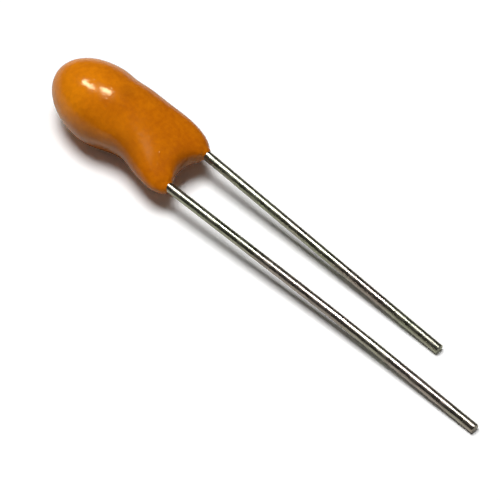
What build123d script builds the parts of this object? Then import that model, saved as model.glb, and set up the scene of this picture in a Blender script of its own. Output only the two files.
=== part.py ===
from build123d import *
from math import asin, atan, copysign, cos, hypot, pi, radians, sin, sqrt
import os

# Dipped tantalum capacitor with two radial wire leads, in millimetres.
# It lies as it comes to rest: on the belly of its bulb and on the tips of both leads.
# +X runs from the bulb to the lead tips, +Z is up, and the bench is at Z = 0.
# The origin is on the bench, under the middle of the length, between the two leads.

# Leads
lead_radius = 0.25
exit_pitch = 2.65  # between the lead centres where they leave the resin
positive_length = 19.6  # of the long lead outside the resin
negative_length = 15.4  # of the short lead outside the resin
positive_toe_in = 0.22  # how far the long lead's tip leans towards the short lead
negative_toe_in = 0.17
bow = 0.14  # the long lead bends this far inwards, off the line from exit to tip
bow_from_exit = 12.0
bow_radius = 240.0
exit_bend_depth = 0.12  # inside the resin, where each lead turns to its outside direction
exit_bend_radius = 12.0
joggle_radius = 0.7  # inside the resin, where a lead steps sideways to its pitch
joggle_slope = 45.0

# Resin coat, outside form: sections named from the bulb's round end to the lead exits
bulb_radius = 2.03
bulb_half_length = 3.05  # from the round end to the widest section of the bulb
bulb_shift = -0.12  # of the bulb's centre line, sideways from the middle of the leads
shoulder_after_bulb = 1.15
shoulder_half_width = 1.99
shoulder_half_height = 1.86
shoulder_shift = 0.03
neck_after_shoulder = 1.1
neck_half_width = 1.93
neck_half_height = 1.5
neck_shift = 0.18
flank_after_neck = 1.0
flank_half_width = 1.97
flank_half_height = 1.18
flank_shift = 0.19
skirt_after_flank = 0.9
skirt_wall = 0.46  # of resin beside the leads at the skirt
skirt_half_height = 0.88
skirt_shift = 0.1
foot_after_skirt = 0.65
foot_wall = 0.42
foot_half_height = 0.68
exit_after_foot = 0.6
toe_wall = 0.12  # beside the leads where they leave the resin
toe_half_height = 0.42
toe_shift = -0.06
skirt_fullness = 2.7  # an oval of fullness 2 is an ellipse, and above it is squarer
toe_fullness = 3.2
saddle_throat = 1.5  # radius of the arch between the feet, seen along Z
saddle_depth = 0.3
saddle_edge_radius = 0.9  # rounding of the arch from its upper to its lower side

# How finely the coat's skin is laid out
oval_steps = 12  # points round each section
bulb_section_angles = (12, 30, 50, 70, 90, 99)  # seen from the bulb's centre, from its end

# Anode and its layers
cap_wall = 0.85  # resin between the round end and the silver
coat_wall = 0.4  # resin beside the short lead where it lies on the bulb's widest section
pellet_length = 3.0
pellet_bevel = 0.15
riser_radius = 0.2
riser_depth = 2.0  # of the riser wire inside the pellet
riser_reach = 1.5  # of the riser wire beyond the pellet
washer_radius = 0.55
washer_thickness = 0.2
oxide_thickness = 0.08
graphite_thickness = 0.04
silver_thickness = 0.06
graphite_rim = 0.25  # left bare at the pellet's wire end
silver_rim = 0.4

# Joints between the leads and the anode
weld_length = 0.9
weld_sink = 0.04  # how deep the riser wire is pressed into the welded lead
solder_lead_length = 1.9  # of the short lead beside the pellet
solder_length = 1.45
solder_half_width = 0.55
solder_cover = 0.1  # of solder over the outer side of the lead

# Resting position, worked out from the sizes above
shoulder_distance = bulb_half_length + shoulder_after_bulb
neck_distance = shoulder_distance + neck_after_shoulder
flank_distance = neck_distance + flank_after_neck
skirt_distance = flank_distance + skirt_after_flank
foot_distance = skirt_distance + foot_after_skirt
exit_distance = foot_distance + exit_after_foot
positive_side = -exit_pitch / 2
negative_side = exit_pitch / 2
positive_reach = sqrt(positive_length**2 - positive_toe_in**2)
tip_from_bulb = exit_distance - bulb_half_length + positive_reach
# The bench touches the bulb's ellipse and the lower edge of the long lead's tip.
tilt_a = tip_from_bulb**2 - bulb_half_length**2
tilt_b = tip_from_bulb * lead_radius
tilt_c = bulb_radius**2 - lead_radius**2
tilt = atan((sqrt(tilt_b**2 + tilt_a * tilt_c) - tilt_b) / tilt_a)
bulb_height = hypot(bulb_radius * cos(tilt), bulb_half_length * sin(tilt))
back_reach = hypot(bulb_half_length * cos(tilt), bulb_radius * sin(tilt))
front_reach = tip_from_bulb * cos(tilt) + lead_radius * sin(tilt)
axis = Vector(cos(tilt), 0, -sin(tilt))
bulb_centre = Vector((back_reach - front_reach) / 2, 0, bulb_height)
round_end = bulb_centre - axis * bulb_half_length


def across(distance):
    """Plane across the body at a distance from the round end: its x is +Y, its y is up."""
    return Plane(origin=round_end + axis * distance, x_dir=(0, 1, 0), z_dir=axis)


def place(distance, side, height=0):
    """Point at a distance from the round end, and at a side and height from the body's axis."""
    return across(distance).from_local_coords(Vector(side, height, 0))


def oval_points(half_width, half_height, shift, fullness):
    """Points round an oval section that bulges towards its corners as fullness grows."""
    points = []
    for step in range(oval_steps):
        angle = step * 2 * pi / oval_steps
        c = cos(angle)
        s = sin(angle)
        x = half_width * copysign(abs(c) ** (2 / fullness), c)
        y = half_height * copysign(abs(s) ** (2 / fullness), s)
        points.append((shift + x, y))
    return points


# Distances along the body, from the round end
layers = oxide_thickness + graphite_thickness + silver_thickness
pellet_start = cap_wall + layers
pellet_end = pellet_start + pellet_length
weld_end = pellet_end + riser_reach
weld_start = weld_end - weld_length

# Sections of the coat: distance, half width, half height, shift and fullness
lead_span = exit_pitch / 2 + lead_radius
flank_fullness = (2 + skirt_fullness) / 2
foot_fullness = (skirt_fullness + toe_fullness) / 2
sections = []
for angle in bulb_section_angles:
    ring = bulb_radius * sin(radians(angle))
    distance = bulb_half_length * (1 - cos(radians(angle)))
    sections.append((distance, ring, ring, bulb_shift, 2))
sections += [
    (shoulder_distance, shoulder_half_width, shoulder_half_height, shoulder_shift, 2),
    (neck_distance, neck_half_width, neck_half_height, neck_shift, 2),
    (flank_distance, flank_half_width, flank_half_height, flank_shift, flank_fullness),
    (skirt_distance, lead_span + skirt_wall, skirt_half_height, skirt_shift, skirt_fullness),
    (foot_distance, lead_span + foot_wall, foot_half_height, 0, foot_fullness),
    (exit_distance, lead_span + toe_wall, toe_half_height, toe_shift, toe_fullness),
]

# Where the leads lie across the body, and how they leave it
pellet_radius = bulb_radius - coat_wall - 2 * lead_radius - layers
weld_side = bulb_shift - riser_radius - lead_radius + weld_sink
solder_side = bulb_shift + pellet_radius + layers + lead_radius
positive_exit = place(exit_distance, positive_side)
negative_exit = place(exit_distance, negative_side)
positive_tip = place(exit_distance + positive_reach, positive_side + positive_toe_in)
# The short lead falls until the lower edge of its tip meets the bench too.
fall_angle = asin(negative_exit.Z / hypot(negative_length, lead_radius))
fall_angle -= atan(lead_radius / negative_length)
fall = negative_length * sin(fall_angle)
negative_run = sqrt(negative_length**2 - fall**2 - negative_toe_in**2)
negative_tip = negative_exit + Vector(negative_run, -negative_toe_in, -fall)
bow_share = bow_from_exit / positive_length
bow_point = positive_exit + (positive_tip - positive_exit) * bow_share + Vector(0, bow, 0)
positive_way_in = (positive_exit - bow_point).normalized() * exit_bend_depth
negative_way_in = (negative_exit - negative_tip).normalized() * exit_bend_depth


def core(distance):
    """Plane across the pellet, centred on it, at a distance from the round end."""
    return Plane(origin=place(distance, bulb_shift), x_dir=(0, 1, 0), z_dir=axis)


def dipped_form(growth, top, bevel_top=False):
    """The pellet grown by what lies on it, from its far end up to a distance."""
    start = pellet_start - growth
    with BuildPart(core(start)) as form:
        Cylinder(
            pellet_radius + growth,
            top - start,
            align=(Align.CENTER, Align.CENTER, Align.MIN),
        )
        ends = form.faces().sort_by(Axis(round_end, axis))
        bevelled = ends[0].edges()
        if bevel_top:
            bevelled += ends[-1].edges()
        chamfer(bevelled, pellet_bevel + growth)
    return form.part


def wire_lead(points, radii):
    """Round wire along a path of straight runs joined by arcs."""
    with BuildPart() as wire:
        with BuildLine() as path:
            FilletPolyline(*points, radius=radii)
        with BuildSketch(Plane(origin=path.line @ 0, z_dir=path.line % 0)):
            Circle(lead_radius)
        sweep()
    return wire.part


# Riser wire: tantalum, pressed into the pellet before sintering
with BuildPart(core(pellet_end - riser_depth)) as riser_wire:
    Cylinder(
        riser_radius,
        riser_depth + riser_reach,
        align=(Align.CENTER, Align.CENTER, Align.MIN),
    )
riser_wire.part.label = "riser_wire"

# Anode pellet: pressed and sintered tantalum powder round the riser wire
pellet_form = dipped_form(0, pellet_end, bevel_top=True)
with BuildPart() as anode_pellet:
    add(pellet_form)
    add(riser_wire.part, mode=Mode.SUBTRACT)
anode_pellet.part.label = "anode_pellet"

# Insulating washer on the riser wire, against the pellet
with BuildPart(core(pellet_end)) as washer_form:
    Cylinder(
        washer_radius,
        washer_thickness,
        align=(Align.CENTER, Align.CENTER, Align.MIN),
    )
with BuildPart() as insulating_washer:
    add(washer_form.part)
    add(riser_wire.part, mode=Mode.SUBTRACT)
insulating_washer.part.label = "insulating_washer"

# Manganese dioxide: the solid electrolyte, over the whole pellet up to the washer
oxide_form = dipped_form(oxide_thickness, pellet_end + oxide_thickness, bevel_top=True)
with BuildPart() as manganese_dioxide_layer:
    add(oxide_form)
    add(pellet_form, mode=Mode.SUBTRACT)
    add(washer_form.part, mode=Mode.SUBTRACT)
manganese_dioxide_layer.part.label = "manganese_dioxide_layer"

# Graphite over the oxide, short of the wire end
graphite_form = dipped_form(
    oxide_thickness + graphite_thickness,
    pellet_end - graphite_rim,
)
with BuildPart() as graphite_layer:
    add(graphite_form)
    add(oxide_form, mode=Mode.SUBTRACT)
graphite_layer.part.label = "graphite_layer"

# Silver paint over the graphite, shorter again
silver_form = dipped_form(layers, pellet_end - silver_rim)
with BuildPart() as silver_layer:
    add(silver_form)
    add(graphite_form, mode=Mode.SUBTRACT)
silver_layer.part.label = "silver_layer"

# Long lead: from its weld on the riser wire, a step out to its pitch, then the long run
joggle_run = (weld_side - positive_side) / sin(radians(joggle_slope)) * cos(radians(joggle_slope))
joggle_start = weld_end + joggle_radius / 2
positive_form = wire_lead(
    [
        place(weld_start, weld_side),
        place(joggle_start, weld_side),
        place(joggle_start + joggle_run, positive_side),
        positive_exit + positive_way_in,
        bow_point,
        positive_tip,
    ],
    [joggle_radius, joggle_radius, exit_bend_radius, bow_radius],
)
with BuildPart() as positive_lead:
    add(positive_form)
    add(riser_wire.part, mode=Mode.SUBTRACT)
positive_lead.part.label = "positive_lead"

# Short lead: straight along the pellet's side, then out to its pitch
negative_start = pellet_end - solder_lead_length
with BuildPart() as negative_lead:
    add(
        wire_lead(
            [
                place(negative_start, solder_side),
                place(pellet_end, solder_side),
                negative_exit + negative_way_in,
                negative_tip,
            ],
            [exit_bend_radius, exit_bend_radius],
        )
    )
negative_lead.part.label = "negative_lead"

# Solder bead that holds the short lead's end to the silver
silver_radius = pellet_radius + layers
with BuildPart() as solder_form:
    with BuildSketch(core(negative_start - solder_cover)):
        with Locations((silver_radius, 0)):
            Ellipse(2 * lead_radius + solder_cover, solder_half_width)
    extrude(amount=solder_length)
    bead_ends = solder_form.faces().sort_by(Axis(round_end, axis))
    chamfer(bead_ends[0].edges() + bead_ends[-1].edges(), solder_cover)
with BuildPart() as solder_joint:
    add(solder_form.part)
    add(silver_form, mode=Mode.SUBTRACT)
    add(negative_lead.part, mode=Mode.SUBTRACT)
solder_joint.part.label = "solder_joint"

# Arch between the feet: a waisted tool turned about the body's height
up = across(0).y_dir
throat_distance = exit_distance - saddle_depth + saddle_throat
with BuildPart() as saddle_tool:
    throat_plane = Plane(
        origin=place(throat_distance, 0),
        x_dir=axis,
        z_dir=axis.cross(up),
    )
    rim = saddle_throat + saddle_edge_radius
    with BuildSketch(throat_plane):
        with BuildLine():
            arch = ThreePointArc(
                (rim, saddle_edge_radius),
                (saddle_throat, 0),
                (rim, -saddle_edge_radius),
            )
            Polyline(
                arch @ 1,
                (rim, -bulb_radius),
                (0, -bulb_radius),
                (0, bulb_radius),
                (rim, bulb_radius),
                arch @ 0,
            )
        make_face()
    revolve(axis=Axis(throat_plane.origin, up))

# Resin coat: a skin over rounded sections, arched between its feet, on all it covers
with BuildPart() as resin_coat:
    for distance, half_width, half_height, shift, fullness in sections:
        with BuildSketch(across(distance)):
            with BuildLine():
                Spline(
                    *oval_points(half_width, half_height, shift, fullness),
                    periodic=True,
                )
            make_face()
    loft([Vertex(*place(0, bulb_shift))] + resin_coat.pending_faces)
    add(saddle_tool.part, mode=Mode.SUBTRACT)
    for form in (
        oxide_form,
        graphite_form,
        silver_form,
        washer_form.part,
        riser_wire.part,
        solder_form.part,
        positive_form,
        negative_lead.part,
    ):
        add(form, mode=Mode.SUBTRACT)
resin_coat.part.label = "resin_coat"

# One file for each piece
os.makedirs("parts", exist_ok=True)
export_step(resin_coat.part, "parts/resin_coat.step")
export_step(anode_pellet.part, "parts/anode_pellet.step")
export_step(riser_wire.part, "parts/riser_wire.step")
export_step(insulating_washer.part, "parts/insulating_washer.step")
export_step(manganese_dioxide_layer.part, "parts/manganese_dioxide_layer.step")
export_step(graphite_layer.part, "parts/graphite_layer.step")
export_step(silver_layer.part, "parts/silver_layer.step")
export_step(solder_joint.part, "parts/solder_joint.step")
export_step(positive_lead.part, "parts/positive_lead.step")
export_step(negative_lead.part, "parts/negative_lead.step")
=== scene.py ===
"""Looks of a dipped tantalum capacitor that lies on white paper under soft lamps.

Sizes are in millimetres unless a name says otherwise; the shared frame is in metres.
"""

import logging
import math
from collections.abc import Callable
from dataclasses import dataclass, field
from enum import Enum

import bmesh
import bpy
from mathutils import Matrix, Vector


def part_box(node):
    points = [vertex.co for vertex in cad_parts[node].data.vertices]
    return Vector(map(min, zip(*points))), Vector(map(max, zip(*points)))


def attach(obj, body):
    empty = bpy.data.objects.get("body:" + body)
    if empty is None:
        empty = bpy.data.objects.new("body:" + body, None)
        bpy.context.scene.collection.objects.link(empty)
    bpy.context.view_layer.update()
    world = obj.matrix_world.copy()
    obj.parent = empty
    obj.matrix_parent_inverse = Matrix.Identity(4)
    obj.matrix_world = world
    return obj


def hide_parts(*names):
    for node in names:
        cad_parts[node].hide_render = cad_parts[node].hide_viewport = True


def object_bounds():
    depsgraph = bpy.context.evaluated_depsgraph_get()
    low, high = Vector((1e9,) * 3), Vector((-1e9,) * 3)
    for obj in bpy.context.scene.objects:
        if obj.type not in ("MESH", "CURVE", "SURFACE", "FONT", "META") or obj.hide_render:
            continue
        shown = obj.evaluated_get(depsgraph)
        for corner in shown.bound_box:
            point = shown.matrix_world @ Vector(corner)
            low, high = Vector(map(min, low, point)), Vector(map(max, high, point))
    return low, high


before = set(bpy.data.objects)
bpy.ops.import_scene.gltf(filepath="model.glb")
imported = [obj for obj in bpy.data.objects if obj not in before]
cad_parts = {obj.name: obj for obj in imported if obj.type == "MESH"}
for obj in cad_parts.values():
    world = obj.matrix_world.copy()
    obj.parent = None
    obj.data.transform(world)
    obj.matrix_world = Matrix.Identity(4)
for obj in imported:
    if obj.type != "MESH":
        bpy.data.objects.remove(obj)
CAD_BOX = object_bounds()
LOG = logging.getLogger("capacitor")
MM = 0.001
CLOUD_ROUGHNESS = 0.55


class Slot(Enum):
    """The record's material slots."""

    RESIN = "resin"
    TINNED_WIRE = "tinned_wire"
    TANTALUM = "sintered_tantalum"
    TANTALUM_WIRE = "tantalum_wire"
    FLUOROPOLYMER = "fluoropolymer"
    MANGANESE_DIOXIDE = "manganese_dioxide"
    GRAPHITE = "graphite"
    SILVER_PAINT = "silver_paint"
    SOLDER = "solder"


Triple = tuple[float, float, float]
Colour = Triple
Point = Triple


# Wiring of materials


def rgba(colour: Colour) -> tuple[float, float, float, float]:
    """A colour with full opacity."""
    return (*colour, 1.0)


class Bench:
    """A node tree with short calls for adding and wiring its nodes."""

    def __init__(self, tree: bpy.types.NodeTree) -> None:
        """Takes the tree to wire.

        Args:
            tree: A material's, a world's or a group's node tree.
        """
        self.tree = tree

    def add(self, kind: str, settings: dict | None = None, **inputs: object) -> bpy.types.Node:
        """Adds a node.

        Args:
            kind: The node's class name.
            settings: Its properties and their values.
            **inputs: Values or output sockets for its inputs, spaces written as underscores.

        Returns:
            The new node.
        """
        node = self.tree.nodes.new(kind)
        for name, value in (settings or {}).items():
            setattr(node, name, value)
        for name, value in inputs.items():
            self.feed(node, name.replace("_", " "), value)
        return node

    def feed(self, node: bpy.types.Node, name: str | int, value: object) -> None:
        """Sets one input or wires an output socket to it.

        Args:
            node: The node that takes it.
            name: The input's name, or its place in the list.
            value: A plain value or an output socket.
        """
        if isinstance(value, bpy.types.NodeSocket):
            self.tree.links.new(value, node.inputs[name])
        else:
            node.inputs[name].default_value = value

    def math(self, operation: str, first: object, second: object = 0.0) -> bpy.types.NodeSocket:
        """Works one sum.

        Args:
            operation: The Math node's operation.
            first: A number or a socket.
            second: A number or a socket.

        Returns:
            The result's socket.
        """
        node = self.add("ShaderNodeMath", {"operation": operation})
        self.feed(node, 0, first)
        self.feed(node, 1, second)
        return node.outputs[0]

    def span(
        self,
        value: bpy.types.NodeSocket,
        low: object,
        high: object,
        to_low: float = 0.0,
        to_high: float = 1.0,
        ease: str = "SMOOTHSTEP",
    ) -> bpy.types.NodeSocket:
        """Maps a value from one range onto another, eased at both ends.

        Args:
            value: The socket to map.
            low: Where the range starts: a number or a socket.
            high: Where the range ends: a number or a socket.
            to_low: The result at the start.
            to_high: The result at the end.
            ease: The Map Range node's way of easing.

        Returns:
            The mapped value's socket.
        """
        node = self.add("ShaderNodeMapRange", {"interpolation_type": ease})
        self.feed(node, "Value", value)
        self.feed(node, "From Min", low)
        self.feed(node, "From Max", high)
        self.feed(node, "To Min", to_low)
        self.feed(node, "To Max", to_high)
        return node.outputs["Result"]

    def blend(self, share: object, first: object, second: object) -> bpy.types.NodeSocket:
        """Mixes two colours.

        Args:
            share: How much of the second one, from 0 to 1.
            first: A colour or a socket.
            second: A colour or a socket.

        Returns:
            The mixed colour's socket.
        """
        node = self.add("ShaderNodeMix", {"data_type": "RGBA"})
        self.feed(node, 0, share)
        self.feed(node, 6, first)
        self.feed(node, 7, second)
        return node.outputs[2]

    def millimetres(self, stretch: Triple = (1.0, 1.0, 1.0)) -> bpy.types.NodeSocket:
        """Object coordinates in millimetres.

        Args:
            stretch: How much finer the pattern is along each axis.

        Returns:
            The coordinates' socket.
        """
        place = self.add("ShaderNodeTexCoord")
        mapping = self.add("ShaderNodeMapping", Vector=place.outputs["Object"])
        self.feed(mapping, "Scale", tuple(part / MM for part in stretch))
        return mapping.outputs["Vector"]

    def total(self, *parts: tuple[object, float]) -> bpy.types.NodeSocket:
        """Adds up values, each times its weight.

        Args:
            *parts: Each value's socket and its weight.

        Returns:
            The sum's socket.
        """
        result, *others = (self.math("MULTIPLY", value, weight) for value, weight in parts)
        for other in others:
            result = self.math("ADD", result, other)
        return result

    def bump(self, height: object, strength: float, depth: float) -> bpy.types.NodeSocket:
        """Turns a height into a normal.

        Args:
            height: The height's socket.
            strength: How much of the bump shows.
            depth: What a height of 1 stands for, in millimetres.

        Returns:
            The normal's socket.
        """
        node = self.add("ShaderNodeBump", Strength=strength, Distance=depth * MM, Height=height)
        return node.outputs["Normal"]

    def group(self, tree: bpy.types.NodeTree, **inputs: object) -> bpy.types.Node:
        """Places a shared effect.

        Args:
            tree: The effect's node group.
            **inputs: Values or sockets for its inputs.

        Returns:
            The group's node.
        """
        node = self.add("ShaderNodeGroup")
        node.node_tree = tree
        for name, value in inputs.items():
            self.feed(node, name.replace("_", " "), value)
        return node


def effect(
    name: str,
    inputs: dict[str, float | None],
    outputs: tuple[str, ...],
    wire: Callable[[Bench, bpy.types.Node, bpy.types.Node], None],
) -> bpy.types.NodeTree:
    """Makes a shared effect as a node group.

    Args:
        name: The group's name.
        inputs: Each input's name and number, or None for a vector.
        outputs: The names of the values that it puts out.
        wire: Wires the inside between the group's input and output nodes.

    Returns:
        The node group.
    """
    tree = bpy.data.node_groups.new(name, "ShaderNodeTree")
    for label, number in inputs.items():
        kind = "NodeSocketVector" if number is None else "NodeSocketFloat"
        socket = tree.interface.new_socket(name=label, in_out="INPUT", socket_type=kind)
        if number is not None:
            socket.default_value = number
    for label in outputs:
        tree.interface.new_socket(name=label, in_out="OUTPUT", socket_type="NodeSocketFloat")
    bench = Bench(tree)
    wire(bench, bench.add("NodeGroupInput"), bench.add("NodeGroupOutput"))
    return tree


def wire_clouds(bench: Bench, given: bpy.types.Node, out: bpy.types.Node) -> None:
    """Soft clouds with an adjustable contrast.

    Args:
        bench: The group's tree.
        given: The group's input node.
        out: The group's output node.
    """
    noise = bench.add(
        "ShaderNodeTexNoise",
        Vector=given.outputs["Vector"],
        Scale=given.outputs["Scale"],
        Detail=given.outputs["Detail"],
        Roughness=CLOUD_ROUGHNESS,
    )
    middle = 0.5
    centred = bench.math("SUBTRACT", noise.outputs["Fac"], middle)
    spread = bench.math("MULTIPLY", centred, given.outputs["Contrast"])
    raised = bench.math("ADD", spread, middle)
    raised.node.use_clamp = True
    bench.feed(out, "Mask", raised)


def wire_specks(bench: Bench, given: bpy.types.Node, out: bpy.types.Node) -> None:
    """Scattered small round specks.

    Args:
        bench: The group's tree.
        given: The group's input node.
        out: The group's output node.
    """
    cells = bench.add(
        "ShaderNodeTexVoronoi",
        Vector=given.outputs["Vector"],
        Scale=given.outputs["Scale"],
        Randomness=1.0,
    )
    dot = bench.span(cells.outputs["Distance"], 0.0, given.outputs["Size"], 1.0, 0.0)
    parts = bench.add("ShaderNodeSeparateColor", Color=cells.outputs["Color"])
    chosen = bench.math("LESS_THAN", parts.outputs[0], given.outputs["Share"])
    bench.feed(out, "Mask", bench.math("MULTIPLY", dot, chosen))


def wire_spot(bench: Bench, given: bpy.types.Node, out: bpy.types.Node) -> None:
    """One soft round spot about a point.

    Args:
        bench: The group's tree.
        given: The group's input node.
        out: The group's output node.
    """
    away = bench.add("ShaderNodeVectorMath", {"operation": "DISTANCE"})
    bench.feed(away, 0, given.outputs["Vector"])
    bench.feed(away, 1, given.outputs["Centre"])
    soft = bench.span(away.outputs["Value"], 0.0, given.outputs["Radius"], 1.0, 0.0, "SMOOTHERSTEP")
    bench.feed(out, "Mask", soft)


class Effects:
    """The effects that the materials share."""

    def __init__(self) -> None:
        """Makes each effect's node group once."""
        self.clouds = effect(
            "clouds",
            {"Vector": None, "Scale": 1.0, "Detail": 3.0, "Contrast": 2.0},
            ("Mask",),
            wire_clouds,
        )
        self.specks = effect(
            "specks",
            {"Vector": None, "Scale": 1.0, "Size": 0.3, "Share": 0.3},
            ("Mask",),
            wire_specks,
        )
        self.spot = effect(
            "spot",
            {"Vector": None, "Centre": None, "Radius": 1.0},
            ("Mask",),
            wire_spot,
        )


@dataclass(frozen=True)
class Surface:
    """A material in the making, with the shared effects and its coordinates in millimetres."""

    material: bpy.types.Material
    bench: Bench
    effects: Effects
    place: bpy.types.NodeSocket

    @classmethod
    def start(cls, name: str, effects: Effects) -> "Surface":
        """Starts a material.

        Args:
            name: The material's name.
            effects: The shared effects.

        Returns:
            The material in the making.
        """
        material = bpy.data.materials.new(name)
        material.use_nodes = True
        bench = Bench(material.node_tree)
        return cls(material, bench, effects, bench.millimetres())

    def set(self, name: str, value: object) -> None:
        """Sets or wires one input of the shader.

        Args:
            name: The input's name.
            value: A plain value or an output socket.
        """
        self.bench.feed(self.material.node_tree.nodes["Principled BSDF"], name, value)


# Patterns


@dataclass(frozen=True)
class Clouds:
    """One pattern of soft clouds; its scale is in clouds per millimetre."""

    scale: float
    detail: float
    contrast: float

    def mask(
        self,
        surface: Surface,
        place: bpy.types.NodeSocket | None = None,
    ) -> bpy.types.NodeSocket:
        """Places the pattern in a material.

        Args:
            surface: The material in the making.
            place: Other coordinates than the material's own.

        Returns:
            The mask's socket.
        """
        node = surface.bench.group(
            surface.effects.clouds,
            Vector=surface.place if place is None else place,
            Scale=self.scale,
            Detail=self.detail,
            Contrast=self.contrast,
        )
        return node.outputs["Mask"]


@dataclass(frozen=True)
class Specks:
    """One pattern of round specks; the size is a part of a cell, the share is of the cells."""

    scale: float
    size: float
    share: float

    def mask(self, surface: Surface) -> bpy.types.NodeSocket:
        """Places the pattern in a material.

        Args:
            surface: The material in the making.

        Returns:
            The mask's socket.
        """
        node = surface.bench.group(
            surface.effects.specks,
            Vector=surface.place,
            Scale=self.scale,
            Size=self.size,
            Share=self.share,
        )
        return node.outputs["Mask"]


@dataclass(frozen=True)
class Spot:
    """One soft spot about a point, in millimetres, as strong as its share."""

    centre: Point
    radius: float
    share: float

    def mask(self, surface: Surface) -> bpy.types.NodeSocket:
        """Places the spot in a material.

        Args:
            surface: The material in the making.

        Returns:
            The mask's socket.
        """
        node = surface.bench.group(
            surface.effects.spot,
            Vector=surface.place,
            Centre=self.centre,
            Radius=self.radius,
        )
        return surface.bench.math("MULTIPLY", node.outputs["Mask"], self.share)


# Finishes


@dataclass(frozen=True)
class ResinFinish:
    """Dipped epoxy: glossy ochre with painted shade, lighter on the bulb and darker towards the
    neck, brown spots of painted shade on the lower flank and in the arch, a brown patch and brown
    specks.
    """

    name: str = "dipped_resin"
    # Painted shade: light is the colour on the bulb where the light falls most, deep the darker
    # colour towards the neck; the clouds also mix between them
    light: Colour = (0.95, 0.300, 0.004)
    deep: Colour = (0.54, 0.128, 0.001)
    # Brown of the specks, of one patch and of the painted shade spots
    brown: Colour = (0.34, 0.085, 0.003)
    glint: Colour = (1.0, 0.95, 0.6)
    ior: float = 1.45
    roughness: tuple[float, float] = (0.12, 0.18)
    # Painted shade: the colour goes from light to deep along X, from the bulb towards the neck
    neck_shade_from: float = -13.0
    neck_shade_to: float = -9.0
    neck_shade_share: float = 0.55
    broad: Clouds = Clouds(0.45, 2.0, 2.4)
    broad_share: float = 0.35
    fine: Clouds = Clouds(4.0, 4.0, 3.0)
    fine_share: float = 0.25
    specks: Specks = Specks(3.5, 0.16, 0.25)
    speck_share: float = 0.3
    # Brown spots, most of them painted shade
    stains_and_shade_spots: tuple[Spot, ...] = (
        # Painted shade on the lower flank towards the neck, on the side turned from the light
        Spot((-8.3, -1.9, 2.3), 1.9, 0.65),
        # Painted shade on the bulb's lower side
        Spot((-10.5, -2.1, 2.2), 1.7, 0.45),
        # Painted shade in the arch between the feet
        Spot((-5.9, 0.0, 1.7), 1.8, 0.45),
        # A brown patch on the top behind the bulb
        Spot((-9.76, 0.29, 3.82), 0.8, 0.35),
        # A brown spot low on the far side of the feet
        Spot((-6.3, 1.9, 1.5), 1.5, 0.4),
    )
    fine_height: float = 0.3
    ripple: Clouds = Clouds(1.8, 2.0, 1.0)
    ripple_height: float = 1.0
    pimples: Specks = Specks(5.0, 0.4, 0.3)
    pimple_height: float = 0.65
    bump_strength: float = 0.5
    bump_depth: float = 0.02

    def material(self, effects: Effects) -> bpy.types.Material:
        """Builds the finish.

        Args:
            effects: The shared effects.

        Returns:
            The material.
        """
        surface = Surface.start(self.name, effects)
        bench = surface.bench
        fine = self.fine.mask(surface)
        surface.set("Base Color", self.tint(surface, fine))
        surface.set("Roughness", bench.span(fine, 0.0, 1.0, *self.roughness))
        surface.set("IOR", self.ior)
        surface.set("Specular Tint", rgba(self.glint))
        height = bench.total(
            (fine, self.fine_height),
            (self.ripple.mask(surface), self.ripple_height),
            (self.pimples.mask(surface), self.pimple_height),
        )
        surface.set("Normal", bench.bump(height, self.bump_strength, self.bump_depth))
        return surface.material

    def tint(self, surface: Surface, fine: bpy.types.NodeSocket) -> bpy.types.NodeSocket:
        """Mixes the resin's colours, with painted shade towards the neck and in spots.

        Args:
            surface: The material in the making.
            fine: The fine clouds' socket.

        Returns:
            The colour's socket.
        """
        bench = surface.bench
        axes = bench.add("ShaderNodeSeparateXYZ", Vector=surface.place)
        # Painted shade, darker from the bulb towards the neck
        painted_neck_shade = bench.span(axes.outputs["X"], self.neck_shade_from, self.neck_shade_to)
        shade = bench.total(
            (painted_neck_shade, self.neck_shade_share),
            (self.broad.mask(surface), self.broad_share),
            (fine, self.fine_share),
        )
        colour = bench.blend(shade, rgba(self.light), rgba(self.deep))
        # Brown specks, then the spots, painted shade and one patch, mixed in as brown
        specks_and_shade = bench.math("MULTIPLY", self.specks.mask(surface), self.speck_share)
        for spot in self.stains_and_shade_spots:
            specks_and_shade = bench.math("MAXIMUM", specks_and_shade, spot.mask(surface))
        return bench.blend(specks_and_shade, colour, rgba(self.brown))


@dataclass(frozen=True)
class WireFinish:
    """Satin metal drawn along its length, with dull blotches and two tints of tarnish."""

    name: str
    colour: Colour
    dull: Colour
    tints: tuple[Colour, Colour]
    roughness: float
    unevenness: float = 0.08
    tarnish: float = 0.55
    drawn: Triple = (0.5, 14.0, 14.0)
    lines: Clouds = Clouds(1.0, 3.0, 2.0)
    blotches: Clouds = Clouds(1.6, 3.0, 2.6)
    patches: Clouds = Clouds(0.3, 1.0, 5.0)
    swell: Clouds = Clouds(2.2, 2.0, 1.0)
    line_height: float = 0.25
    swell_height: float = 1.0
    bump_strength: float = 0.4
    bump_depth: float = 0.03

    def material(self, effects: Effects) -> bpy.types.Material:
        """Builds the finish.

        Args:
            effects: The shared effects.

        Returns:
            The material.
        """
        surface = Surface.start(self.name, effects)
        bench = surface.bench
        lines = self.lines.mask(surface, bench.millimetres(self.drawn))
        blotches = self.blotches.mask(surface)
        tarnish = bench.blend(self.patches.mask(surface), *map(rgba, self.tints))
        metal = bench.blend(self.tarnish, rgba(self.colour), tarnish)
        shade = bench.math("MULTIPLY", lines, blotches)
        surface.set("Base Color", bench.blend(shade, metal, rgba(self.dull)))
        surface.set("Metallic", 1.0)
        smooth, rough = self.roughness - self.unevenness, self.roughness + self.unevenness
        surface.set("Roughness", bench.span(blotches, 0.0, 1.0, smooth, rough))
        height = bench.total(
            (lines, self.line_height),
            (self.swell.mask(surface), self.swell_height),
        )
        surface.set("Normal", bench.bump(height, self.bump_strength, self.bump_depth))
        return surface.material


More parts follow.
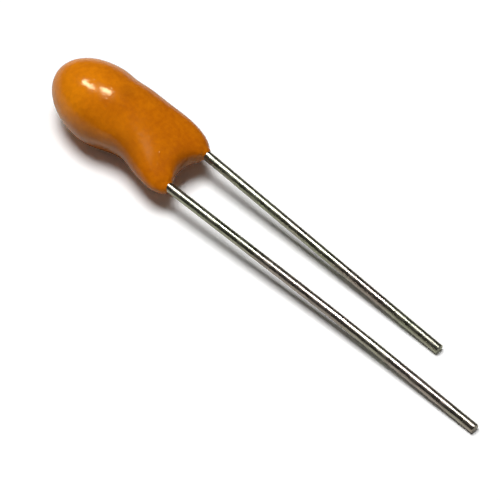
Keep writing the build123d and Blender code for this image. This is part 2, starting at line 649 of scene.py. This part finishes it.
@dataclass(frozen=True)
class PowderFinish:
    """A dull or satin mineral or painted surface with a grain."""

    name: str
    colour: Colour
    other: Colour
    roughness: float
    grain: float
    metallic: float = 0.0
    bump_depth: float = 0.02
    bump_strength: float = 0.6
    unevenness: float = 0.07
    cloud: Clouds = Clouds(1.2, 3.0, 2.2)
    grain_detail: float = 4.0
    grain_contrast: float = 2.0
    speck_size: float = 0.4
    speck_density: float = 0.3
    speck_share: float = 0.5

    def material(self, effects: Effects) -> bpy.types.Material:
        """Builds the finish.

        Args:
            effects: The shared effects.

        Returns:
            The material.
        """
        surface = Surface.start(self.name, effects)
        bench = surface.bench
        grain = Clouds(self.grain, self.grain_detail, self.grain_contrast).mask(surface)
        specks = Specks(self.grain, self.speck_size, self.speck_density).mask(surface)
        shade = bench.math("MULTIPLY", self.cloud.mask(surface), grain)
        shade = bench.math("MAXIMUM", shade, bench.math("MULTIPLY", specks, self.speck_share))
        surface.set("Base Color", bench.blend(shade, rgba(self.colour), rgba(self.other)))
        surface.set("Metallic", self.metallic)
        smooth, rough = self.roughness - self.unevenness, self.roughness + self.unevenness
        surface.set("Roughness", bench.span(grain, 0.0, 1.0, smooth, rough))
        surface.set("Normal", bench.bump(grain, self.bump_strength, self.bump_depth))
        return surface.material


FINISHES: dict[Slot, ResinFinish | WireFinish | PowderFinish] = {
    Slot.RESIN: ResinFinish(),
    Slot.TINNED_WIRE: WireFinish(
        "tinned_wire",
        colour=(0.42, 0.415, 0.395),
        dull=(0.24, 0.215, 0.175),
        tints=((0.40, 0.44, 0.27), (0.46, 0.35, 0.31)),
        roughness=0.28,
    ),
    Slot.TANTALUM: PowderFinish(
        "sintered_tantalum",
        colour=(0.16, 0.16, 0.17),
        other=(0.05, 0.05, 0.06),
        roughness=0.75,
        grain=9.0,
        metallic=0.6,
        bump_depth=0.05,
    ),
    Slot.TANTALUM_WIRE: WireFinish(
        "tantalum_wire",
        colour=(0.36, 0.37, 0.42),
        dull=(0.22, 0.22, 0.26),
        tints=((0.34, 0.36, 0.42), (0.40, 0.38, 0.40)),
        roughness=0.4,
    ),
    Slot.FLUOROPOLYMER: PowderFinish(
        "fluoropolymer",
        colour=(0.82, 0.82, 0.80),
        other=(0.72, 0.71, 0.68),
        roughness=0.45,
        grain=4.0,
        bump_depth=0.01,
    ),
    Slot.MANGANESE_DIOXIDE: PowderFinish(
        "manganese_dioxide",
        colour=(0.030, 0.026, 0.024),
        other=(0.012, 0.010, 0.010),
        roughness=0.8,
        grain=8.0,
        bump_depth=0.05,
    ),
    Slot.GRAPHITE: PowderFinish(
        "graphite",
        colour=(0.060, 0.060, 0.065),
        other=(0.025, 0.025, 0.028),
        roughness=0.5,
        grain=6.0,
        metallic=0.2,
    ),
    Slot.SILVER_PAINT: PowderFinish(
        "silver_paint",
        colour=(0.70, 0.70, 0.69),
        other=(0.45, 0.45, 0.44),
        roughness=0.4,
        grain=7.0,
        metallic=0.9,
    ),
    Slot.SOLDER: PowderFinish(
        "solder",
        colour=(0.62, 0.62, 0.61),
        other=(0.40, 0.40, 0.41),
        roughness=0.3,
        grain=2.5,
        metallic=1.0,
        bump_depth=0.03,
    ),
}


# Modelling by hand


def start_clean() -> None:
    """Leaves edit mode and deselects everything."""
    if bpy.context.object and bpy.context.object.mode != "OBJECT":
        bpy.ops.object.mode_set(mode="OBJECT")
    bpy.ops.object.select_all(action="DESELECT")


def take(piece: bpy.types.Object) -> None:
    """Makes a piece the only selected and active object.

    Args:
        piece: The object.
    """
    start_clean()
    piece.select_set(True)
    bpy.context.view_layer.objects.active = piece


def edit(piece: bpy.types.Object, kind: str = "VERT") -> None:
    """Opens a piece in edit mode with nothing selected.

    Args:
        piece: The object.
        kind: The select mode: VERT, EDGE or FACE.
    """
    take(piece)
    bpy.ops.object.mode_set(mode="EDIT")
    bpy.ops.mesh.select_mode(type=kind)
    bpy.ops.mesh.select_all(action="DESELECT")


def pick_faces(piece: bpy.types.Object, wanted: Callable[[bmesh.types.BMFace], bool]) -> int:
    """Selects faces of a piece in edit mode.

    Args:
        piece: The object.
        wanted: Says whether a face is selected.

    Returns:
        How many faces are selected.
    """
    mesh = bmesh.from_edit_mesh(piece.data)
    found = 0
    for face in mesh.faces:
        face.select_set(wanted(face))
        found += face.select
    mesh.select_flush_mode()
    bmesh.update_edit_mesh(piece.data)
    return found


def pick_points(piece: bpy.types.Object, wanted: Callable[[Vector], bool]) -> int:
    """Selects points of a piece in edit mode.

    Args:
        piece: The object.
        wanted: Says whether a point is selected.

    Returns:
        How many points are selected.
    """
    mesh = bmesh.from_edit_mesh(piece.data)
    found = 0
    for point in mesh.verts:
        point.select = wanted(point.co)
        found += point.select
    mesh.select_flush(True)
    bmesh.update_edit_mesh(piece.data)
    return found


def fix_place() -> None:
    """Applies the active piece's place, turn and scale to its mesh."""
    bpy.ops.object.transform_apply(location=True, rotation=True, scale=True)


def modify(piece: bpy.types.Object, kind: str, **settings: object) -> None:
    """Adds a modifier to a piece and applies it.

    Args:
        piece: The object.
        kind: The modifier's type.
        **settings: Its properties and their values.
    """
    take(piece)
    modifier = piece.modifiers.new(kind.lower(), kind)
    for name, value in settings.items():
        setattr(modifier, name, value)
    bpy.ops.object.modifier_apply(modifier=modifier.name)


def finish_piece(piece: bpy.types.Object, slot: Slot, material: bpy.types.Material) -> None:
    """Dresses a new piece and fixes it to the object.

    Args:
        piece: The object.
        slot: The record's slot of its finish.
        material: Its material.
    """
    piece.data.materials.clear()
    piece.data.materials.append(material)
    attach(piece, "root")
    LOG.info("%s: %d faces, %s", piece.name, len(piece.data.polygons), slot.value)


# The pieces


@dataclass(frozen=True)
class Section:
    """One oval section of the coat, in millimetres."""

    distance: float
    half_width: float
    half_height: float
    shift: float


@dataclass(frozen=True)
class Bead:
    """One round bead of resin on a toe, in millimetres along the body's axis."""

    centre: Point
    radius: float


@dataclass(frozen=True)
class Press:
    """One push with a thumb: where, which way and how far around it reaches, in millimetres."""

    place: Point
    push: Triple
    reach: float


@dataclass
class ResinSkin:
    """The dipped coat: a bulb, a neck and two feet, arched between the leads."""

    round_end: Point = (-13.9957, 0.0, 2.2546)
    fall_deg: float = 4.0995
    around: int = 24
    bulb_radius: float = 2.03
    bulb_half_length: float = 3.05
    bulb_shift: float = -0.12
    bulb_angles: tuple[int, ...] = (12, 30, 50, 70, 90, 99)
    body: tuple[Section, ...] = (
        Section(4.2, 1.99, 1.86, 0.03),
        Section(5.3, 1.93, 1.5, 0.18),
        Section(6.3, 1.97, 1.18, 0.19),
        Section(7.2, 2.035, 0.88, 0.1),
        Section(7.85, 1.995, 0.68, 0.0),
        Section(8.45, 1.695, 0.42, -0.06),
    )
    cap_shares: tuple[float, ...] = (0.85, 0.6, 0.35, 0.12)
    saddle_half_width: float = 0.95
    saddle_depth: float = 0.11
    near: float = 0.01
    growth: float = 0.045
    fine_growth: float = 0.014
    exits: tuple[float, float] = (-1.325, 1.325)
    lip_radius: float = 0.44
    lip_tip_radius: float = 0.27
    lip_length: float = 0.34
    lip_overhang: float = 0.12
    beads: tuple[Bead, ...] = (
        Bead((8.24, -1.42, -0.08), 0.43),
        Bead((8.12, 1.38, -0.05), 0.36),
    )
    grid: float = 0.06
    softening: float = 0.5
    smoothing: int = 8
    presses: tuple[Press, ...] = (
        Press((-8.9, -1.85, 1.6), (0.0, 0.15, 0.1), 1.6),
        Press((-10.0, -1.8, 1.15), (0.0, 0.08, 0.07), 1.2),
        Press((-5.9, -1.45, 2.22), (0.0, 0.0, -0.07), 1.1),
    )

    def build(self) -> bpy.types.Object:
        """Models the coat.

        Returns:
            The finished skin.
        """
        skin = self.pull_rings()
        self.close_toe_end(skin)
        self.close_round_end(skin)
        self.lay(skin)
        self.wrap(skin, self.growth)
        modify(skin, "SUBSURF", levels=1, render_levels=1)
        self.wrap(skin, self.fine_growth)
        modify(skin, "SUBSURF", levels=2, render_levels=2)
        self.add_lips(skin)
        modify(skin, "REMESH", mode="VOXEL", voxel_size=self.grid)
        modify(skin, "SMOOTH", factor=self.softening, iterations=self.smoothing)
        take(skin)
        fix_place()
        bpy.ops.object.shade_smooth()
        for press in self.presses:
            self.push_in(skin, press)
        self.seat(skin)
        return skin

    @property
    def sections(self) -> list[Section]:
        """The bulb's rounded sections and then the body's, from the round end to the exits."""
        rings = []
        for angle in self.bulb_angles:
            turn = math.radians(angle)
            ring = self.bulb_radius * math.sin(turn)
            distance = self.bulb_half_length * (1 - math.cos(turn))
            rings.append(Section(distance, ring, ring, self.bulb_shift))
        return rings + list(self.body)

    def pull_rings(self) -> bpy.types.Object:
        """Pulls one circle into a tube through every section.

        Returns:
            The open tube, in millimetres, along +X.
        """
        start_clean()
        rings = self.sections
        first = rings[0]
        bpy.ops.mesh.primitive_circle_add(
            vertices=self.around,
            radius=first.half_width,
            location=(first.distance, first.shift, 0),
            rotation=(0, math.pi / 2, 0),
        )
        tube = bpy.context.object
        tube.name = tube.data.name = "resin_skin"
        fix_place()
        bpy.ops.object.mode_set(mode="EDIT")
        bpy.ops.mesh.select_mode(type="VERT")
        bpy.ops.mesh.select_all(action="SELECT")
        for last, ring in zip(rings, rings[1:], strict=False):
            self.extrude(ring.distance - last.distance, ring.shift - last.shift)
            wide = ring.half_width / last.half_width
            high = ring.half_height / last.half_height
            self.squeeze(ring, wide, high)
        return tube

    def extrude(self, ahead: float = 0.0, aside: float = 0.0) -> None:
        """Extrudes the selected loop.

        Args:
            ahead: How far it goes along the body.
            aside: How far it goes sideways.
        """
        bpy.ops.mesh.extrude_region_move(TRANSFORM_OT_translate={"value": (ahead, aside, 0)})

    def squeeze(self, ring: Section, wide: float, high: float) -> None:
        """Scales the selected loop about a section's middle.

        Args:
            ring: The section.
            wide: The factor across.
            high: The factor upwards.
        """
        middle = (ring.distance, ring.shift, 0)
        bpy.ops.transform.resize(value=(1, wide, high), center_override=middle)

    def close_toe_end(self, tube: bpy.types.Object) -> None:
        """Closes the toe end in narrowing loops and hollows it between the feet.

        Args:
            tube: The open tube in edit mode, with its toe end's loop selected.
        """
        last = self.body[-1]
        share = 1.0
        for following in self.cap_shares:
            self.extrude()
            self.squeeze(last, following / share, following / share)
            share = following
        bpy.ops.mesh.merge(type="CENTER")
        bpy.ops.mesh.select_all(action="DESELECT")
        pick_points(
            tube,
            lambda point: point.x > last.distance - self.near
            and abs(point.y - last.shift) < self.saddle_half_width,
        )
        bpy.ops.transform.translate(value=(-self.saddle_depth, 0, 0))

    def close_round_end(self, tube: bpy.types.Object) -> None:
        """Draws the first loop together at the round end.

        Args:
            tube: The tube in edit mode.
        """
        start = self.sections[0].distance
        bpy.ops.mesh.select_all(action="DESELECT")
        pick_points(tube, lambda point: point.x < start + self.near)
        self.extrude(-start)
        bpy.ops.mesh.merge(type="CENTER")
        bpy.ops.mesh.select_all(action="SELECT")
        bpy.ops.mesh.normals_make_consistent(inside=False)
        bpy.ops.object.mode_set(mode="OBJECT")

    def lay(self, piece: bpy.types.Object) -> None:
        """Lays a piece made along +X in millimetres into the shared frame.

        Args:
            piece: The object.
        """
        turn = Matrix.Rotation(math.radians(self.fall_deg), 4, "Y")
        place = Matrix.Translation(Vector(self.round_end) * MM)
        piece.matrix_world = place @ turn @ Matrix.Scale(MM, 4)
        bpy.context.view_layer.update()

    def wrap(self, skin: bpy.types.Object, growth: float) -> None:
        """Draws the skin onto the coat.

        Args:
            skin: The skin.
            growth: How far its points stand off the coat, in millimetres.
        """
        modify(
            skin,
            "SHRINKWRAP",
            target=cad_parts["resin_coat"],
            wrap_method="NEAREST_SURFACEPOINT",
            wrap_mode="OUTSIDE_SURFACE",
            offset=growth * MM,
        )

    def add_lips(self, skin: bpy.types.Object) -> None:
        """Adds the lips of resin that climb the leads and the beads on the toes.

        Args:
            skin: The closed skin.
        """
        parts = [self.make_lip(side) for side in self.exits]
        parts += [self.make_bead(bead) for bead in self.beads]
        start_clean()
        for part in parts:
            self.lay(part)
            part.select_set(True)
        skin.select_set(True)
        bpy.context.view_layer.objects.active = skin
        bpy.ops.object.join()

    def make_lip(self, side: float) -> bpy.types.Object:
        """Makes the lip round one lead.

        Args:
            side: The lead's place across the body.

        Returns:
            The lip, in millimetres, along +X.
        """
        start_clean()
        middle = self.body[-1].distance + self.lip_overhang - self.lip_length / 2
        bpy.ops.mesh.primitive_cone_add(
            vertices=self.around,
            radius1=self.lip_radius,
            radius2=self.lip_tip_radius,
            depth=self.lip_length,
            location=(middle, side, 0),
            rotation=(0, math.pi / 2, 0),
        )
        fix_place()
        return bpy.context.object

    def make_bead(self, bead: Bead) -> bpy.types.Object:
        """Makes the bead on one toe.

        Args:
            bead: Its place and size.

        Returns:
            The bead, in millimetres.
        """
        start_clean()
        bpy.ops.mesh.primitive_uv_sphere_add(
            segments=self.around,
            ring_count=self.around // 2,
            radius=bead.radius,
            location=bead.centre,
        )
        fix_place()
        return bpy.context.object

    def push_in(self, skin: bpy.types.Object, press: Press) -> None:
        """Pushes the skin with one soft proportional move, as with a thumb.

        Args:
            skin: The skin, with its place applied.
            press: The push.
        """
        centre = Vector(press.place) * MM
        edit(skin)
        nearest = min((point.co - centre).length for point in skin.data.vertices)
        pick_points(skin, lambda point: (point - centre).length < nearest + 1e-7)
        bpy.ops.transform.translate(
            value=Vector(press.push) * MM,
            use_proportional_edit=True,
            proportional_edit_falloff="SMOOTH",
            proportional_size=press.reach * MM,
        )
        bpy.ops.object.mode_set(mode="OBJECT")

    def seat(self, skin: bpy.types.Object) -> None:
        """Fits the skin into the coat's box and sets it down on the bench.

        Args:
            skin: The skin, with its place applied.
        """
        low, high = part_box("resin_coat")
        points = [point.co for point in skin.data.vertices]
        least = Vector(min(point[axis] for point in points) for axis in range(3))
        most = Vector(max(point[axis] for point in points) for axis in range(3))
        along = (most.x - low.x) / (most.x - least.x)
        across = min(1.0, low.y / least.y, high.y / most.y)
        upward = min(1.0, (high.z - low.z) / (most.z - least.z))
        edit(skin)
        bpy.ops.mesh.select_all(action="SELECT")
        bpy.ops.transform.resize(
            value=(along, across, upward),
            center_override=(most.x, 0, least.z),
        )
        bpy.ops.transform.translate(value=(0, 0, low.z - least.z))
        bpy.ops.object.mode_set(mode="OBJECT")

    def dress(self, skin: bpy.types.Object, materials: dict[Slot, bpy.types.Material]) -> None:
        """Gives the skin its finish and puts it in the coat's place.

        Args:
            skin: The finished skin.
            materials: The material of each slot.
        """
        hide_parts("resin_coat")
        finish_piece(skin, Slot.RESIN, materials[Slot.RESIN])


@dataclass
class CutWire:
    """A lead with the end that the cutter left; its sizes are in millimetres."""

    node: str
    name: str
    weld: float = 0.0005
    tip_zone: float = 0.1
    facing: float = 0.95
    round_over: float = 0.035
    round_steps: int = 3
    dish: float = 0.02
    dish_margin: float = 0.06
    smooth_deg: float = 50.0

    def build(self) -> bpy.types.Object:
        """Models the cut end on a copy of the lead.

        Returns:
            The finished wire.
        """
        start_clean()
        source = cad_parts[self.node]
        wire = bpy.data.objects.new(self.name, source.data.copy())
        wire.data.name = self.name
        bpy.context.scene.collection.objects.link(wire)
        edit(wire, "FACE")
        bpy.ops.mesh.select_all(action="SELECT")
        bpy.ops.mesh.remove_doubles(threshold=self.weld * MM)
        self.pick_cut(wire)
        bpy.ops.mesh.dissolve_faces()
        bpy.ops.mesh.bevel(
            offset=self.round_over * MM,
            segments=self.round_steps,
            affect="EDGES",
        )
        self.pick_cut(wire, least_corners=9)
        bpy.ops.mesh.inset(thickness=self.dish_margin * MM, depth=-self.dish * MM)
        bpy.ops.object.mode_set(mode="OBJECT")
        take(wire)
        bpy.ops.object.shade_smooth_by_angle(angle=math.radians(self.smooth_deg))
        return wire

    def pick_cut(self, wire: bpy.types.Object, least_corners: int = 3) -> None:
        """Selects the faces of the cut end and nothing else.

        Args:
            wire: The wire in edit mode.
            least_corners: Faces with fewer corners are left out.
        """
        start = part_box(self.node)[1].x - self.tip_zone * MM
        bpy.ops.mesh.select_all(action="DESELECT")
        pick_faces(
            wire,
            lambda face: face.normal.x > self.facing
            and face.calc_center_median().x > start
            and len(face.verts) >= least_corners,
        )

    def dress(self, wire: bpy.types.Object, materials: dict[Slot, bpy.types.Material]) -> None:
        """Gives the wire its finish and puts it in the lead's place.

        Args:
            wire: The finished wire.
            materials: The material of each slot.
        """
        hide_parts(self.node)
        finish_piece(wire, Slot.TINNED_WIRE, materials[Slot.TINNED_WIRE])


@dataclass
class InnerAssembly:
    """The anode, its layers and its joints, which keep their CAD shapes."""

    slots: dict[str, Slot] = field(
        default_factory=lambda: {
            "anode_pellet": Slot.TANTALUM,
            "riser_wire": Slot.TANTALUM_WIRE,
            "insulating_washer": Slot.FLUOROPOLYMER,
            "manganese_dioxide_layer": Slot.MANGANESE_DIOXIDE,
            "graphite_layer": Slot.GRAPHITE,
            "silver_layer": Slot.SILVER_PAINT,
            "solder_joint": Slot.SOLDER,
        }
    )

    def dress(self, materials: dict[Slot, bpy.types.Material]) -> None:
        """Gives each inner piece its finish.

        Args:
            materials: The material of each slot.
        """
        for name, slot in self.slots.items():
            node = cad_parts[name]
            node.data.materials.clear()
            node.data.materials.append(materials[slot])
            LOG.info("%s: CAD node, %s", name, slot.value)


# The stage


class Reach(Enum):
    """What a lamp's light reaches."""

    GLOSS = "gloss"
    MATT = "matt"


@dataclass(frozen=True)
class Lamp:
    """One soft rectangular lamp, aimed at the bulb and seen from it under two angles."""

    direction: Triple
    width_deg: float
    height_deg: float
    radiance: float
    reach: Reach
    turn_deg: float = 0.0

    def hang(self, name: str, target: Vector, distance: float) -> None:
        """Hangs the lamp.

        Args:
            name: The lamp's name.
            target: Where it points, in metres.
            distance: How far off it hangs, in metres.
        """
        wide = 2 * distance * math.tan(math.radians(self.width_deg / 2))
        high = 2 * distance * math.tan(math.radians(self.height_deg / 2))
        light = bpy.data.lights.new(name, "AREA")
        light.shape = "RECTANGLE"
        light.size = wide
        light.size_y = high
        light.energy = self.radiance * math.pi * wide * high
        lamp = bpy.data.objects.new(name, light)
        bpy.context.scene.collection.objects.link(lamp)
        towards = Vector(self.direction).normalized()
        lamp.location = target + towards * distance
        level = Vector((1, 0, 0)) - towards * towards.x
        turn = Matrix.Rotation(math.radians(self.turn_deg), 3, towards)
        along = turn @ level.normalized()
        axes = Matrix((along, towards.cross(along), towards)).transposed()
        lamp.rotation_euler = axes.to_euler()
        lamp.visible_diffuse = self.reach is Reach.MATT
        lamp.visible_glossy = self.reach is Reach.GLOSS


@dataclass
class Studio:
    """White paper, soft lamps overhead and the camera at the photo's angle."""

    floor_size: float = 4.0
    paper: Colour = (0.42, 0.42, 0.42)
    paper_mirrored: Colour = (0.66, 0.66, 0.60)
    paper_far: Colour = (0.2, 0.2, 0.2)
    sheet_near: float = 15.0
    sheet_far: float = 60.0
    paper_seen: Colour = (1.1, 1.1, 1.1)
    room: Colour = (0.036, 0.034, 0.030)
    room_seen: Colour = (1.0, 1.0, 1.0)
    lamp_distance: float = 1.2
    lamp_target: Point = (-10.9, -0.6, 3.9)
    lamps: tuple[Lamp, ...] = (
        Lamp((-0.555, -0.076, 0.828), 17.0, 9.0, 30.0, Reach.GLOSS),
        Lamp((-0.16, 0.135, 0.978), 20.0, 13.0, 28.0, Reach.GLOSS, turn_deg=35.0),
        Lamp((-0.08, -0.04, 0.996), 28.0, 24.0, 14.5, Reach.MATT),
        Lamp((0.1, -0.55, 0.83), 75.0, 75.0, 0.10, Reach.MATT),
    )
    azimuth_deg: float = 43.2
    elevation_deg: float = 52.9
    distance: float = 0.2
    pixels_per_mm: float = 20.83
    picture_side: int = 500
    sensor: float = 36.0
    clip: tuple[float, float] = (0.01, 10.0)
    target: Point = (-0.899, -0.517, 0.0)

    def build(self) -> None:
        """Sets the whole stage."""
        self.lay_floor()
        self.fill_room()
        for number, lamp in enumerate(self.lamps, 1):
            lamp.hang(f"lamp_{number}", Vector(self.lamp_target) * MM, self.lamp_distance)
        self.place_camera()
        bpy.context.scene.view_settings.view_transform = "Standard"
        LOG.info("stage set with %d lamps", len(self.lamps))

    def lay_floor(self) -> None:
        """Lays the paper under the object."""
        start_clean()
        low = CAD_BOX[0].z
        bpy.ops.mesh.primitive_plane_add(size=self.floor_size, location=(0, 0, low))
        floor = bpy.context.object
        floor.name = floor.data.name = "paper"
        floor.data.materials.append(self.paper_material())

    def paper_material(self) -> bpy.types.Material:
        """Builds the paper: white to the camera, greyer and limited in size to other rays.

        Returns:
            The material.
        """
        material = bpy.data.materials.new("paper")
        material.use_nodes = True
        nodes = material.node_tree.nodes
        nodes.remove(nodes["Principled BSDF"])
        bench = Bench(material.node_tree)
        path = bench.add("ShaderNodeLightPath").outputs
        place = bench.add("ShaderNodeTexCoord")
        away = bench.add("ShaderNodeVectorMath", {"operation": "LENGTH"})
        bench.feed(away, 0, place.outputs["Object"])
        outside = bench.span(away.outputs["Value"], self.sheet_near * MM, self.sheet_far * MM)
        sheet = bench.blend(outside, rgba(self.paper_mirrored), rgba(self.paper_far))
        mirrored = bench.math("MAXIMUM", path["Is Glossy Ray"], path["Is Transmission Ray"])
        white = bench.blend(mirrored, rgba(self.paper), sheet)
        white = bench.blend(path["Is Camera Ray"], white, rgba(self.paper_seen))
        matt = bench.add("ShaderNodeBsdfDiffuse", Color=white)
        bench.feed(nodes["Material Output"], "Surface", matt.outputs[0])
        return material

    def fill_room(self) -> None:
        """Gives the dim room round the lamps, seen white by the camera alone."""
        world = bpy.data.worlds.new("room")
        world.use_nodes = True
        bpy.context.scene.world = world
        bench = Bench(world.node_tree)
        room = world.node_tree.nodes["Background"]
        bench.feed(room, "Color", rgba(self.room))
        white = bench.add("ShaderNodeBackground", Color=rgba(self.room_seen))
        path = bench.add("ShaderNodeLightPath")
        mix = bench.add("ShaderNodeMixShader")
        bench.feed(mix, 0, path.outputs["Is Camera Ray"])
        bench.feed(mix, 1, room.outputs[0])
        bench.feed(mix, 2, white.outputs[0])
        bench.feed(world.node_tree.nodes["World Output"], "Surface", mix.outputs[0])

    def place_camera(self) -> None:
        """Places the camera where the photo was taken."""
        turn = math.radians(self.azimuth_deg)
        rise = math.radians(self.elevation_deg)
        level = Vector((math.sin(turn), -math.cos(turn), 0)) * math.cos(rise)
        back = level + Vector((0, 0, math.sin(rise)))
        data = bpy.data.cameras.new("camera")
        data.sensor_width = self.sensor
        pixels_per_metre = self.pixels_per_mm / MM
        data.lens = pixels_per_metre * self.distance * self.sensor / self.picture_side
        data.clip_start, data.clip_end = self.clip
        camera = bpy.data.objects.new("camera", data)
        bpy.context.scene.collection.objects.link(camera)
        camera.location = Vector(self.target) * MM + back * self.distance
        camera.rotation_euler = back.to_track_quat("Z", "Y").to_euler()
        bpy.context.scene.camera = camera


def main() -> None:
    """Builds the stage and the pieces in order."""
    logging.basicConfig(level=logging.INFO, format="%(name)s: %(message)s")
    Studio().build()
    effects = Effects()
    materials = {slot: finish.material(effects) for slot, finish in FINISHES.items()}
    InnerAssembly().dress(materials)
    skin = ResinSkin()
    skin.dress(skin.build(), materials)
    for wire in (
        CutWire("positive_lead", "positive_wire"),
        CutWire("negative_lead", "negative_wire"),
    ):
        wire.dress(wire.build(), materials)
    start_clean()


if __name__ == "__main__":
    main()
